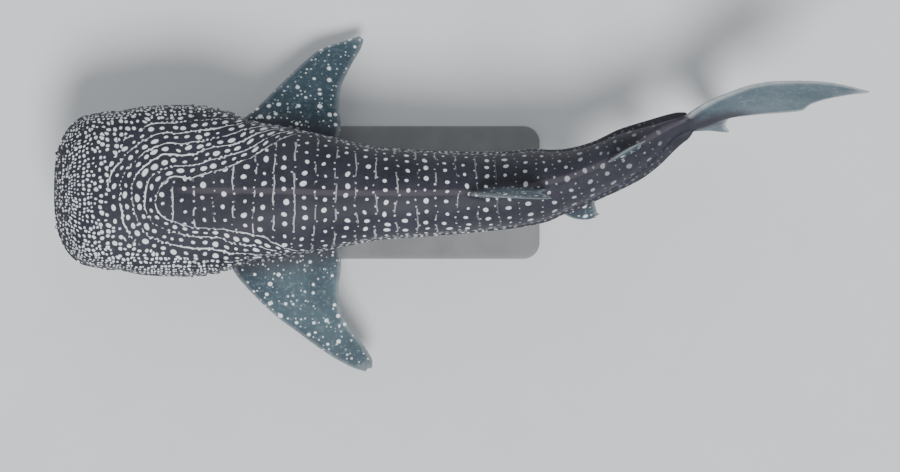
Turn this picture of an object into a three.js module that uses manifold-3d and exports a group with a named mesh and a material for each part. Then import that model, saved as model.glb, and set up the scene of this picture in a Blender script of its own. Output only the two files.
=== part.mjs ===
// Whale shark, life size, swimming with its tail swept to one side, on a museum stand.
// All sizes are in millimetres. The head points along -X, the animal's right side is +Y, up is +Z.
import * as THREE from "three";
import Module from "manifold-3d";

const wasm = await Module();
wasm.setup();

const group = new THREE.Group();
const GAP = 0.3;
const AXIS_HEIGHT = 690;

// Smooth curve through a table of rows, each with the position first
function along(table, column, position) {
  const last = table.length - 1;
  if (position <= table[0][0]) return table[0][column];
  if (position >= table[last][0]) return table[last][column];
  let row = 0;
  while (table[row + 1][0] < position) row += 1;
  const rise = (k) => (table[k + 1][column] - table[k][column]) / (table[k + 1][0] - table[k][0]);
  const slope = (k) => {
    if (k === 0) return rise(0);
    if (k === last) return rise(last - 1);
    const before = rise(k - 1);
    const after = rise(k);
    return before * after <= 0 ? 0 : (2 * before * after) / (before + after);
  };
  const width = table[row + 1][0] - table[row][0];
  const t = (position - table[row][0]) / width;
  const low = table[row][column];
  const high = table[row + 1][column];
  return low * (1 + 2 * t) * (1 - t) ** 2 + high * t * t * (3 - 2 * t)
    + width * (slope(row) * t * (1 - t) ** 2 - slope(row + 1) * t * t * (1 - t));
}

// Backbone seen from above: distance along it, x, y, roll in degrees toward the right side
const BACKBONE = [
  [0, 0, 0, 0],
  [710, 710, -3, 0],
  [1440, 1440, -7, 0],
  [1970, 1970, -22, 0],
  [2501, 2501, -20, 0],
  [2966, 2965, -3, 0],
  [3369, 3363, 60, 2],
  [3649, 3629, 146, 5],
  [3945, 3894, 279, 9],
  [4248, 4159, 425, 13],
  [4493, 4392, 500, 16],
];

// Body outline: distance, half-width, top, underside, height of the widest line, squareness
const BODY = [
  [0, 515, 175, -205, -50, 2.3],
  [300, 517, 232, -240, -45, 2.35],
  [444, 531, 252, -252, -40, 2.4],
  [577, 562, 268, -264, -36, 2.4],
  [710, 570, 288, -280, -30, 2.4],
  [900, 574, 316, -306, -20, 2.4],
  [1110, 545, 340, -332, -8, 2.4],
  [1240, 497, 350, -345, 0, 2.35],
  [1370, 456, 360, -354, 0, 2.3],
  [1570, 418, 368, -362, 0, 2.25],
  [1770, 385, 372, -364, 0, 2.2],
  [1970, 338, 372, -360, 0, 2.2],
  [2170, 300, 368, -352, 0, 2.2],
  [2470, 278, 358, -336, 0, 2.2],
  [2830, 254, 342, -312, 0, 2.15],
  [3030, 243, 326, -294, 0, 2.15],
  [3230, 232, 304, -272, 0, 2.1],
  [3370, 198, 280, -252, 0, 2.1],
  [3600, 164, 238, -218, 0, 2.05],
  [3850, 146, 194, -182, 0, 2.05],
  [4000, 114, 166, -156, 0, 2.0],
  [4120, 80, 146, -138, 0, 2.0],
  [4250, 50, 122, -118, 0, 2.0],
  [4340, 34, 96, -92, 0, 2.0],
];

// Height of the long ridges: distance, on the back, the two upper ones, the lowest one (the keel)
const RIDGES = [
  [1150, 0, 0, 0],
  [1500, 12, 16, 10],
  [2600, 14, 18, 15],
  [3300, 10, 16, 22],
  [3700, 8, 12, 32],
  [4000, 4, 5, 52],
  [4150, 0, 0, 56],
  [4260, 0, 0, 56],
  [4340, 0, 0, 40],
];
const RIDGE_ANGLES = [62, 38];
const KEEL_ANGLE = 10;

const GILL_SLITS = [945, 1035, 1125, 1215, 1300];
const GILL_TOP = 52;
const GILL_FOOT = -34;
const MOUTH_CORNER = 215;

const radians = (degrees) => (degrees * Math.PI) / 180;
const blend = (low, high, value) => THREE.MathUtils.smoothstep(value, low, high);

// Direction of the backbone, seen from above
function heading(distance) {
  const ahead = along(BACKBONE, 1, distance + 4) - along(BACKBONE, 1, distance - 4);
  const across = along(BACKBONE, 2, distance + 4) - along(BACKBONE, 2, distance - 4);
  return new THREE.Vector3(ahead, across, 0).normalize();
}

// Point on the smooth body at a distance and an angle, 0 at the right side and 90 on the back
function bodyPoint(distance, angle) {
  const s = Math.max(distance, 0.001);
  const noseWidth = (1 - (1 - Math.min(s / 300, 1)) ** 2) ** 0.345;
  const noseHeight = (1 - (1 - Math.min(s / 420, 1)) ** 2) ** 0.46;
  const middle = along(BODY, 4, s);
  const power = 2 / along(BODY, 5, s);
  const c = Math.cos(radians(angle));
  const n = Math.sin(radians(angle));
  const reach = along(BODY, n > 0 ? 2 : 3, s) - middle;
  const side = along(BODY, 1, s) * noseWidth * Math.sign(c) * Math.abs(c) ** power;
  const rise = middle + Math.abs(reach) * noseHeight * Math.sign(n) * Math.abs(n) ** power;
  const axis = heading(s);
  const roll = radians(along(BACKBONE, 3, s));
  const sideways = side * Math.cos(roll) + rise * Math.sin(roll);
  const upward = rise * Math.cos(roll) - side * Math.sin(roll);
  return new THREE.Vector3(
    along(BACKBONE, 1, s) - axis.y * sideways,
    along(BACKBONE, 2, s) + axis.x * sideways,
    AXIS_HEIGHT + upward,
  );
}

// Outward direction of the smooth body; behind the head it lies in the plane of the ring
function bodyOutward(distance, angle) {
  if (distance < 0.5) return new THREE.Vector3(-1, 0, 0);
  const lengthwise = bodyPoint(distance + 2, angle).sub(bodyPoint(distance - 0.4, angle));
  const around = bodyPoint(distance, angle + 0.5).sub(bodyPoint(distance, angle - 0.5));
  const outward = lengthwise.cross(around).normalize().negate();
  const flat = blend(400, 700, distance);
  const axis = heading(distance);
  return outward.addScaledVector(axis, -flat * outward.dot(axis)).normalize();
}

// Ridges, mouth groove with its lips, and gill flaps, as a height on the smooth body
function relief(distance, angle) {
  const high = Math.abs(((angle + 270) % 360) - 180);
  const height = 90 - high;
  const bump = (place, centre, foot) => {
    const d = Math.min(Math.abs(place - centre) / foot, 1);
    return (0.5 + 0.5 * Math.cos(Math.PI * d)) ** 1.5;
  };
  let value = along(RIDGES, 1, distance) * bump(height, 90, 8);
  for (const ridge of RIDGE_ANGLES) value += along(RIDGES, 2, distance) * bump(height, ridge, 5);
  value += along(RIDGES, 3, distance) * bump(height, KEEL_ANGLE, 10);
  if (distance < MOUTH_CORNER + 40) {
    const closed = 1 - blend(MOUTH_CORNER - 40, MOUTH_CORNER + 30, distance);
    const above = bodyPoint(distance, angle).z - AXIS_HEIGHT - along(BODY, 4, distance);
    value += closed * (8 * bump(above, 27, 21) + 8 * bump(above, -29, 23) - 24 * bump(above, 0, 14));
  }
  const reach = blend(GILL_FOOT - 12, GILL_FOOT + 4, height) * (1 - blend(GILL_TOP - 4, GILL_TOP + 10, height));
  for (const slit of GILL_SLITS) {
    const d = distance - slit;
    if (d > -42 && d <= -3) value += reach * 7 * blend(-42, -3, d);
    if (d > -3 && d <= 3) value += reach * (7 - (22 * (d + 3)) / 6);
    if (d > 3 && d < 32) value -= reach * 15 * (1 - blend(3, 32, d));
  }
  return value;
}

// Rings of the gill slits bow a little forward at mid-height
function skinPoint(distance, angle) {
  const bow = 20 * blend(902, 945, distance) * (1 - blend(1330, 1400, distance));
  const s = distance - bow * Math.cos(radians(angle)) ** 2;
  const outward = bodyOutward(s, angle);
  return bodyPoint(s, angle).addScaledVector(outward, relief(distance, angle));
}

const HALF_RING = [90, 82, 74, 67, 62, 57, 50, 43, 38, 33, 26, 20, 15, 10, 5, 0, -8, -18, -30, -44, -58, -74];
const RING = [...HALF_RING, -90, ...HALF_RING.slice(1).reverse().map((angle) => 180 - angle)];
const HEAD_RINGS = [0, 2, 7, 16, 30, 52, 84, 124, 170, 210, 250, 310, 390, 480, 590, 700, 800, 899.85];
const GILL_RINGS = [900.15];
for (const slit of GILL_SLITS) GILL_RINGS.push(slit - 42, slit - 3, slit + 3, slit + 32);
GILL_RINGS.push(1370, 1419.85);
const TRUNK_RINGS = [1420.15, 1500, 1610, 1730, 1850, 1970, 2090, 2220, 2360, 2500, 2640, 2780, 2910,
  3030, 3140, 3239.85];
const TAIL_RINGS = [3240.15, 3330, 3430, 3540, 3660, 3780, 3890, 3990, 4080, 4160, 4230, 4290, 4335];

// Solid made of rings of points, its ends closed to their middles, and grown outward if asked
function solidFromRings(rings, firstEnd, lastEnd, grow = 0) {
  const count = rings[0].length;
  const points = rings.flat();
  const triangles = [];
  for (let row = 0; row + 1 < rings.length; row += 1) {
    for (let k = 0; k < count; k += 1) {
      const a = row * count + k;
      const b = row * count + ((k + 1) % count);
      triangles.push(a, b, b + count, a, b + count, a + count);
    }
  }
  const start = points.length;
  points.push(firstEnd, lastEnd);
  const tail = (rings.length - 1) * count;
  for (let k = 0; k < count; k += 1) {
    const next = (k + 1) % count;
    triangles.push(start, next, k);
    triangles.push(start + 1, tail + k, tail + next);
  }
  let volume = 0;
  for (let k = 0; k < triangles.length; k += 3) {
    const [a, b, c] = triangles.slice(k, k + 3).map((corner) => points[corner]);
    volume += a.dot(b.clone().cross(c));
  }
  if (volume < 0) triangles.reverse();
  const geometry = new THREE.BufferGeometry().setFromPoints(points);
  geometry.setIndex(triangles);
  geometry.computeVertexNormals();
  const outward = new THREE.Vector3();
  points.forEach((point, k) => {
    point.addScaledVector(outward.fromBufferAttribute(geometry.getAttribute("normal"), k), grow);
  });
  return new wasm.Manifold(new wasm.Mesh({
    numProp: 3,
    vertProperties: new Float32Array(points.flatMap((point) => point.toArray())),
    triVerts: new Uint32Array(triangles),
  }));
}

function middleOf(ring) {
  const sum = new THREE.Vector3();
  for (const point of ring) sum.add(point);
  return sum.divideScalar(ring.length);
}

// Length of body between its first and last ring
function bodyLength(distances, grow) {
  const rings = distances.filter((s) => s > 0).map((s) => RING.map((angle) => skinPoint(s, angle)));
  const nose = distances[0] === 0 ? skinPoint(0, 0) : middleOf(rings[0]);
  return solidFromRings(rings, nose, middleOf(rings[rings.length - 1]), grow);
}

function largest(solid) {
  const pieces = solid.decompose().sort((a, b) => b.volume() - a.volume());
  return pieces[0];
}

const SKIN = { color: 0x42475a, roughness: 0.55, metalness: 0 };
const FIN_SKIN = { color: 0x53687a, roughness: 0.55, metalness: 0 };
const EYE = { color: 0x10141c, roughness: 0.12, metalness: 0 };
const PAINT = { color: 0x75787a, roughness: 0.45, metalness: 0 };
const STEEL = { color: 0xa5a8ac, roughness: 0.35, metalness: 1 };

function addNode(name, solid, look = SKIN) {
  const mesh = solid.getMesh();
  const geometry = new THREE.BufferGeometry();
  const positions = new Float32Array(mesh.numVert * 3);
  for (let k = 0; k < mesh.numVert; k += 1) {
    for (let axis = 0; axis < 3; axis += 1) positions[3 * k + axis] = mesh.vertProperties[k * mesh.numProp + axis];
  }
  geometry.setAttribute("position", new THREE.BufferAttribute(positions, 3));
  geometry.setIndex(Array.from(mesh.triVerts));
  geometry.computeVertexNormals();
  const node = new THREE.Mesh(geometry, new THREE.MeshStandardMaterial(look));
  node.name = name;
  group.add(node);
}

// Closed solid of one of three's own geometries, placed by a matrix
function solidFromGeometry(geometry, matrix) {
  const placed = geometry.clone();
  placed.applyMatrix4(matrix);
  const position = placed.getAttribute("position");
  const seen = new Map();
  const points = [];
  const renumber = [];
  for (let k = 0; k < position.count; k += 1) {
    const key = [position.getX(k), position.getY(k), position.getZ(k)].map((v) => v.toFixed(3)).join();
    if (!seen.has(key)) {
      seen.set(key, points.length / 3);
      points.push(position.getX(k), position.getY(k), position.getZ(k));
    }
    renumber.push(seen.get(key));
  }
  const triangles = [];
  const index = placed.getIndex().array;
  for (let k = 0; k < index.length; k += 3) {
    const corners = [renumber[index[k]], renumber[index[k + 1]], renumber[index[k + 2]]];
    if (new Set(corners).size === 3) triangles.push(...corners);
  }
  return new wasm.Manifold(new wasm.Mesh({
    numProp: 3,
    vertProperties: new Float32Array(points),
    triVerts: new Uint32Array(triangles),
  }));
}

// Round lump centred on the skin and lying along it, with sizes along, across and out of the skin
function lumpAt(distance, angle, depth, sizes, segments) {
  const outward = bodyOutward(distance, angle);
  const lengthwise = bodyPoint(distance + 2, angle).sub(bodyPoint(distance - 2, angle)).normalize();
  const across = new THREE.Vector3().crossVectors(outward, lengthwise).normalize();
  lengthwise.crossVectors(across, outward);
  const matrix = new THREE.Matrix4().makeBasis(lengthwise, across, outward);
  matrix.setPosition(bodyPoint(distance, angle).addScaledVector(outward, depth));
  matrix.scale(new THREE.Vector3(...sizes));
  return solidFromGeometry(new THREE.SphereGeometry(1, segments, Math.round(segments * 0.6)), matrix);
}

// Head: broad and flat, mouth across the very front, small eyes low on the sides with a raised
// rim, a spiracle behind each eye, and at the upper lip a nostril beside a short barbel
const EYE_DISTANCE = 352;
const EYE_RADIUS = 27;
const EYE_OUT = -12;
let head = bodyLength(HEAD_RINGS, 0);
for (const side of [0, 180]) {
  const lean = (degrees) => (side === 0 ? degrees : 180 - degrees);
  const rim = lumpAt(EYE_DISTANCE, lean(-6), 0, [50, 42, 11], 16);
  const socket = lumpAt(EYE_DISTANCE, lean(-6), EYE_OUT, Array(3).fill(EYE_RADIUS + 1.2 * GAP), 16);
  const spiracle = lumpAt(472, lean(-3), 4, [17, 22, 16], 12);
  const barbel = lumpAt(21, lean(20), 6, [13, 9, 14], 10);
  const nostril = lumpAt(32, lean(27), 3, [22, 8, 12], 10);
  head = head.add(rim).subtract(socket).subtract(spiracle).subtract(nostril).add(barbel);
  const eye = lumpAt(EYE_DISTANCE, lean(-6), EYE_OUT, Array(3).fill(EYE_RADIUS), 16);
  addNode(side === 0 ? "eye_right" : "eye_left", eye, EYE);
}
addNode("head", largest(head));

addNode("gill_region", bodyLength(GILL_RINGS, 0));
addNode("trunk", bodyLength(TRUNK_RINGS, 0));
addNode("tail_stock", bodyLength(TAIL_RINGS, 0));

const WHOLE_RINGS = [HEAD_RINGS, GILL_RINGS, TRUNK_RINGS, TAIL_RINGS].flat().sort((a, b) => a - b);
const tailHeading = heading(TAIL_RINGS[TAIL_RINGS.length - 1]).multiplyScalar(GAP);
const tailGrown = bodyLength(TAIL_RINGS, GAP).translate(tailHeading.toArray());
const bodyGrown = bodyLength(WHOLE_RINGS, GAP).add(tailGrown);

// Height of a fin's section as a share of its thickness, from the leading edge to the trailing edge
const FIN_SECTION = [[0.025, 0.34], [0.1, 0.66], [0.24, 0.93], [0.42, 1], [0.62, 0.8], [0.82, 0.46], [1, 0.1]];

// Fin: each row has a share of the span, the leading edge, the trailing edge and the thickness
function fin(rows, spans) {
  const rings = spans.map((span) => {
    const at = (column, share) => along(rows, column, share);
    const edge = (first, share) => new THREE.Vector3(at(first, share), at(first + 1, share), at(first + 2, share));
    const front = edge(1, span);
    const back = edge(4, span);
    const middle = (share) => edge(1, share).add(edge(4, share));
    const outward = middle(Math.min(span + 0.02, 1)).sub(middle(Math.max(span - 0.02, 0)));
    const chord = back.clone().sub(front);
    const normal = new THREE.Vector3().crossVectors(chord, outward).normalize();
    const thick = at(7, span);
    const face = ([share, half], way) => {
      const height = Math.max(half * thick * 0.5, Math.min(3, 0.16 * thick));
      return front.clone().addScaledVector(chord, share).addScaledVector(normal, way * height);
    };
    return [front, ...FIN_SECTION.map((p) => face(p, 1)), ...FIN_SECTION.map((p) => face(p, -1)).reverse()];
  });
  return solidFromRings(rings, middleOf(rings[0]), middleOf(rings[rings.length - 1]));
}

const SPANS = [0, 0.1, 0.2, 0.3, 0.42, 0.54, 0.66, 0.77, 0.86, 0.93, 0.97, 1];

// Pectoral fins: broad sickle blades held out and drooping, the left one a little farther spread
const PECTORAL_LEFT = [
  [0, 1130, -430, 490, 1800, -230, 510, 165],
  [0.12, 1187, -545, 480, 1905, -375, 500, 118],
  [0.25, 1262, -640, 456, 1903, -510, 470, 90],
  [0.4, 1372, -755, 420, 1885, -655, 425, 66],
  [0.55, 1490, -862, 380, 1898, -795, 378, 47],
  [0.7, 1625, -962, 335, 1945, -905, 330, 33],
  [0.83, 1772, -1072, 290, 2030, -1010, 290, 22],
  [0.93, 1900, -1152, 255, 2085, -1090, 260, 14],
  [0.98, 2000, -1200, 235, 2112, -1150, 240, 9],
  [1, 2060, -1217, 226, 2110, -1190, 230, 6],
];
const PECTORAL_RIGHT = [
  [0, 1170, 400, 490, 1790, 230, 510, 165],
  [0.12, 1245, 478, 480, 1880, 340, 495, 118],
  [0.25, 1330, 548, 436, 1902, 440, 455, 90],
  [0.4, 1432, 652, 372, 1890, 560, 385, 66],
  [0.55, 1540, 762, 305, 1900, 690, 312, 47],
  [0.7, 1650, 868, 238, 1945, 802, 242, 33],
  [0.83, 1755, 952, 182, 1990, 890, 188, 22],
  [0.93, 1880, 1000, 150, 2025, 948, 155, 14],
  [0.98, 1975, 1030, 134, 2045, 998, 138, 9],
  [1, 2020, 1045, 128, 2050, 1022, 132, 6],
];

// First dorsal fin: tall, high on the back, with a free rear tip
const DORSAL_FIRST = [
  [0, 2660, -25, 930, 3190, 5, 900, 120],
  [0.15, 2730, -28, 1030, 3262, 2, 1006, 84],
  [0.3, 2800, -32, 1120, 3268, -2, 1062, 64],
  [0.45, 2880, -38, 1218, 3236, -12, 1140, 50],
  [0.6, 2962, -44, 1312, 3232, -22, 1238, 38],
  [0.75, 3040, -50, 1398, 3250, -34, 1330, 27],
  [0.87, 3115, -56, 1462, 3275, -44, 1402, 18],
  [0.95, 3180, -60, 1498, 3293, -54, 1452, 12],
  [1, 3240, -62, 1512, 3300, -60, 1490, 6],
];

// Second dorsal fin, a third of the height of the first
const DORSAL_SECOND = [
  [0, 3625, 150, 840, 3830, 240, 815, 60],
  [0.25, 3668, 180, 918, 3902, 282, 890, 40],
  [0.5, 3728, 218, 992, 3896, 292, 940, 28],
  [0.75, 3788, 256, 1058, 3898, 304, 1010, 18],
  [0.92, 3846, 288, 1100, 3916, 316, 1070, 10],
  [1, 3886, 306, 1112, 3922, 322, 1096, 6],
];

// Pelvic fins: small, low on the flanks; the left one shows beyond the body from above
const PELVIC_LEFT = [
  [0, 3290, -60, 530, 3530, 10, 545, 70],
  [0.25, 3352, -128, 490, 3598, -60, 500, 46],
  [0.5, 3420, -170, 450, 3612, -118, 455, 32],
  [0.75, 3490, -192, 410, 3622, -148, 412, 20],
  [0.92, 3548, -196, 380, 3636, -160, 384, 11],
  [1, 3590, -184, 368, 3640, -168, 370, 6],
];
const PELVIC_RIGHT = [
  [0, 3250, 100, 530, 3480, 165, 545, 70],
  [0.25, 3298, 158, 478, 3540, 222, 490, 46],
  [0.5, 3352, 200, 420, 3545, 250, 430, 32],
  [0.75, 3412, 232, 366, 3548, 270, 372, 20],
  [0.92, 3466, 250, 330, 3558, 280, 336, 11],
  [1, 3510, 264, 314, 3562, 284, 320, 6],
];

// Anal fin, small and just behind the second dorsal, on the underside
const ANAL = [
  [0, 3700, 170, 560, 3870, 250, 590, 50],
  [0.25, 3745, 190, 480, 3952, 284, 512, 36],
  [0.5, 3802, 212, 408, 3946, 282, 452, 26],
  [0.75, 3862, 236, 344, 3950, 280, 386, 17],
  [0.92, 3912, 256, 306, 3968, 284, 334, 10],
  [1, 3944, 270, 294, 3976, 286, 310, 6],
];

const sideFins = [
  ["pectoral_fin_left", PECTORAL_LEFT],
  ["pectoral_fin_right", PECTORAL_RIGHT],
  ["first_dorsal_fin", DORSAL_FIRST],
  ["second_dorsal_fin", DORSAL_SECOND],
  ["pelvic_fin_left", PELVIC_LEFT],
  ["pelvic_fin_right", PELVIC_RIGHT],
  ["anal_fin", ANAL],
];
for (const [name, rows] of sideFins) {
  addNode(name, largest(fin(rows, SPANS).subtract(bodyGrown)), FIN_SKIN);
}

// Tail fin: a tall upper lobe leaning toward the right and a shorter lower lobe, nearly upright.
// Each row has a share of the span, the leading edge and the trailing edge as x and height above
// the backbone, and the thickness
const TAIL_MIDDLE = [[4100, 392], [4250, 462], [4392, 503], [4624, 516], [4880, 462], [5121, 375], [5373, 250]];
const tailFin = (rows, lean) => rows.map(([share, frontX, frontZ, backX, backZ, thick]) => [
  share,
  frontX, along(TAIL_MIDDLE, 1, frontX) + lean * frontZ, AXIS_HEIGHT + frontZ,
  backX, along(TAIL_MIDDLE, 1, backX) + lean * backZ, AXIS_HEIGHT + backZ,
  thick,
]);
const UPPER_LOBE = tailFin([
  [0, 4120, 40, 4330, -130, 90],
  [0.1, 4195, 118, 4450, -96, 80],
  [0.22, 4340, 222, 4548, -62, 66],
  [0.34, 4480, 330, 4680, -18, 56],
  [0.46, 4624, 436, 4806, 76, 48],
  [0.58, 4770, 544, 4912, 168, 40],
  [0.68, 4890, 632, 4968, 232, 34],
  [0.77, 5000, 712, 5012, 360, 28],
  [0.86, 5110, 794, 5088, 502, 23],
  [0.93, 5220, 866, 5186, 660, 17],
  [0.975, 5305, 918, 5274, 800, 11],
  [1, 5362, 950, 5350, 912, 6],
], 0.4);
const LOWER_LOBE = tailFin([
  [0, 4130, 60, 4560, -10, 80],
  [0.15, 4150, -90, 4512, -72, 66],
  [0.35, 4200, -190, 4492, -160, 50],
  [0.55, 4272, -304, 4484, -268, 37],
  [0.75, 4360, -420, 4490, -380, 25],
  [0.9, 4440, -506, 4506, -470, 15],
  [1, 4500, -552, 4522, -540, 6],
], 0.21);
const wholeTail = fin(UPPER_LOBE, SPANS).add(fin(LOWER_LOBE, [0, 0.15, 0.25, 0.35, 0.45, 0.55, 0.65, 0.75, 0.84, 0.92, 1]));
const partingSlab = new THREE.BoxGeometry(900, 900, GAP);
const parting = solidFromGeometry(partingSlab, new THREE.Matrix4().makeTranslation(4500, 500, AXIS_HEIGHT - 68));
const lobes = wholeTail.subtract(bodyGrown).subtract(parting).decompose();
const heightOf = (solid) => solid.boundingBox().max[2];
const byVolume = lobes.sort((a, b) => b.volume() - a.volume()).slice(0, 2);
byVolume.sort((a, b) => heightOf(b) - heightOf(a));
addNode("caudal_fin_upper", byVolume[0], FIN_SKIN);
addNode("caudal_fin_lower", byVolume[1], FIN_SKIN);

// Stand: a low slab with rounded corners and two round rods with a collar at the foot
const BASE_LENGTH = 2500;
const BASE_WIDTH = 900;
const BASE_THICKNESS = 60;
const BASE_CORNER = 110;
const BASE_EDGE = 8;
const BASE_CENTRE = [1990, -10];
const ROD_RADIUS = 45;
const COLLAR_RADIUS = 85;
const COLLAR_HEIGHT = 22;
const RODS = [["stand_rod_front", 1440, -8], ["stand_rod_rear", 2760, -14]];

const outline = new THREE.Shape();
const halfLength = BASE_LENGTH / 2 - BASE_EDGE;
const halfWidth = BASE_WIDTH / 2 - BASE_EDGE;
outline.moveTo(-halfLength + BASE_CORNER, -halfWidth);
outline.lineTo(halfLength - BASE_CORNER, -halfWidth);
outline.absarc(halfLength - BASE_CORNER, -halfWidth + BASE_CORNER, BASE_CORNER, -Math.PI / 2, 0);
outline.absarc(halfLength - BASE_CORNER, halfWidth - BASE_CORNER, BASE_CORNER, 0, Math.PI / 2);
outline.absarc(-halfLength + BASE_CORNER, halfWidth - BASE_CORNER, BASE_CORNER, Math.PI / 2, Math.PI);
outline.absarc(-halfLength + BASE_CORNER, -halfWidth + BASE_CORNER, BASE_CORNER, Math.PI, 1.5 * Math.PI);
const slabGeometry = new THREE.ExtrudeGeometry(outline, {
  depth: BASE_THICKNESS - 2 * BASE_EDGE,
  bevelThickness: BASE_EDGE,
  bevelSize: BASE_EDGE,
  bevelSegments: 2,
  curveSegments: 8,
});
slabGeometry.translate(...BASE_CENTRE, BASE_EDGE);
slabGeometry.deleteAttribute("normal");
slabGeometry.deleteAttribute("uv");
slabGeometry.setIndex([...Array(slabGeometry.getAttribute("position").count).keys()]);
addNode("stand_base", solidFromGeometry(slabGeometry, new THREE.Matrix4()), PAINT);

for (const [name, x, y] of RODS) {
  const foot = BASE_THICKNESS + GAP;
  const profile = [[0, foot], [COLLAR_RADIUS, foot], [COLLAR_RADIUS, foot + COLLAR_HEIGHT - 4],
    [COLLAR_RADIUS - 4, foot + COLLAR_HEIGHT], [ROD_RADIUS + 3, foot + COLLAR_HEIGHT], [ROD_RADIUS, foot + COLLAR_HEIGHT + 3],
    [ROD_RADIUS, 520], [0, 520]];
  const lathe = new THREE.LatheGeometry(profile.map(([r, z]) => new THREE.Vector2(r, z)), 24);
  const upright = new THREE.Matrix4().makeTranslation(x, y, 0).multiply(new THREE.Matrix4().makeRotationX(Math.PI / 2));
  addNode(name, largest(solidFromGeometry(lathe, upright).subtract(bodyGrown)), STEEL);
}

// Origin on the floor under the middle of the whole
const box = new THREE.Box3().setFromObject(group);
const centre = box.getCenter(new THREE.Vector3());
group.position.set(-centre.x, -centre.y, -box.min.z);
group.updateMatrixWorld(true);

export default group;
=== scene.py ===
import bpy
import numpy as np
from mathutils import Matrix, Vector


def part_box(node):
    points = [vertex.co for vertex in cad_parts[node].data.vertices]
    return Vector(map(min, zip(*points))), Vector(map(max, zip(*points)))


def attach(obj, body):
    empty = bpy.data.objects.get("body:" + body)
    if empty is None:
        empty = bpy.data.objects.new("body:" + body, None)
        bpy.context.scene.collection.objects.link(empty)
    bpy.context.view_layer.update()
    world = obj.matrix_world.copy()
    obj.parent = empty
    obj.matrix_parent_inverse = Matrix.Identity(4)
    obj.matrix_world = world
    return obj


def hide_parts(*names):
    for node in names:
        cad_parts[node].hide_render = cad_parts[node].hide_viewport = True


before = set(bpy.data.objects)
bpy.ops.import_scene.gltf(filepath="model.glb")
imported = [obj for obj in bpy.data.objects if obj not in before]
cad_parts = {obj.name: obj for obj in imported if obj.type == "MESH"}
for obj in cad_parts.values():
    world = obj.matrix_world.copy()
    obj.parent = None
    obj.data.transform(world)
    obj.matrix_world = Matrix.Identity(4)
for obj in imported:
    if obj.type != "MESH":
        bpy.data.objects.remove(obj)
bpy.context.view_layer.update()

# Body of the shark: one long shape from the snout to the root of the tail fin.
# The real skin is tough and smooth over muscle, drawn up into long ridges, parted by the mouth and
# by five gill slits on each side. It is a ring shape carried along the curved backbone.
# Sizes are in millimetres from the snout: backward, to the animal's right, and up from the floor.
SLAB_MIDDLE = (1990, -10)
AXIS_HEIGHT = 690
# distance along the backbone, the point there seen from above, roll in degrees
BACKBONE = np.array([
    [0, 0, 0, 0], [710, 710, -3, 0], [1440, 1440, -7, 0], [1970, 1970, -22, 0],
    [2501, 2501, -20, 0], [2966, 2965, -3, 0], [3369, 3363, 60, 2], [3649, 3629, 146, 5],
    [3945, 3894, 279, 9], [4248, 4159, 425, 13], [4493, 4392, 500, 16],
], float)
# distance, half-width, top, underside, height of the widest line, squareness
BODY = np.array([
    [0, 515, 175, -205, -50, 2.3], [300, 517, 232, -240, -45, 2.35], [444, 531, 252, -252, -40, 2.4],
    [577, 562, 268, -264, -36, 2.4], [710, 570, 288, -280, -30, 2.4], [900, 574, 316, -306, -20, 2.4],
    [1110, 545, 340, -332, -8, 2.4], [1240, 497, 350, -345, 0, 2.35], [1370, 456, 360, -354, 0, 2.3],
    [1570, 418, 368, -362, 0, 2.25], [1770, 385, 372, -364, 0, 2.2], [1970, 338, 372, -360, 0, 2.2],
    [2170, 300, 368, -352, 0, 2.2], [2470, 278, 358, -336, 0, 2.2], [2830, 254, 342, -312, 0, 2.15],
    [3030, 243, 326, -294, 0, 2.15], [3230, 232, 304, -272, 0, 2.1], [3370, 198, 280, -252, 0, 2.1],
    [3600, 164, 238, -218, 0, 2.05], [3850, 146, 194, -182, 0, 2.05], [4000, 114, 166, -156, 0, 2.0],
    [4120, 80, 146, -138, 0, 2.0], [4250, 50, 122, -118, 0, 2.0], [4340, 34, 96, -92, 0, 2.0],
], float)
# distance, ridge along the back, the two upper ridges of a side, the lowest ridge (the keel)
RIDGES = np.array([
    [1150, 0, 0, 0], [1500, 12, 16, 10], [2600, 14, 18, 15], [3300, 10, 16, 22], [3700, 8, 12, 32],
    [4000, 4, 5, 52], [4150, 0, 0, 56], [4260, 0, 0, 56], [4340, 0, 0, 40],
], float)
# The snout is round over these lengths, seen from above and from the side, by these powers
SNOUT_ABOVE = 300
SNOUT_BESIDE = 420
POWER_ABOVE = 0.345
POWER_BESIDE = 0.46
GILL_SLITS = [945, 1035, 1125, 1215, 1300]
FLAP_HEIGHT = 4
SLIT_DEPTH = 12
FLAP_BOW = 20
MOUTH_CORNER = 215
LIP_HEIGHT = 8
GROOVE_DEPTH = 24
SOCKET_DEPTH = 24
SOCKET_RIM = 9
SPIRACLE_DEPTH = 15
SPIRACLE_RIM = 4
NOSTRIL_DEPTH = 12
BARBEL_HEIGHT = 15
# distance from the snout and angle above the widest line, in degrees
EYE_PLACE = (352, -6)
SPIRACLE_PLACE = (472, -3)
NOSTRIL_PLACE = (32, 27)
BARBEL_PLACE = (21, 20)


def curve(table, column, position):
    """A smooth curve through one column of a table: cubic pieces whose slopes never overshoot."""
    x, y = table[:, 0], table[:, column]
    rise = np.diff(y) / np.diff(x)
    product = rise[:-1] * rise[1:]
    total = np.where(product > 0, rise[:-1] + rise[1:], 1)
    slope = np.concatenate([rise[:1], np.where(product > 0, 2 * product / total, 0), rise[-1:]])
    place = np.clip(position, x[0], x[-1])
    row = np.clip(np.searchsorted(x, place) - 1, 0, len(x) - 2)
    width = x[row + 1] - x[row]
    t = (place - x[row]) / width
    return (y[row] * (1 + 2 * t) * (1 - t) ** 2 + y[row + 1] * t * t * (3 - 2 * t)
            + width * (slope[row] * t * (1 - t) ** 2 - slope[row + 1] * t * t * (1 - t)))


def step(value, low, high):
    """0 below low, 1 above high, and a smooth S between them."""
    t = np.clip((value - low) / (high - low), 0, 1)
    return t * t * (3 - 2 * t)


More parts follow.
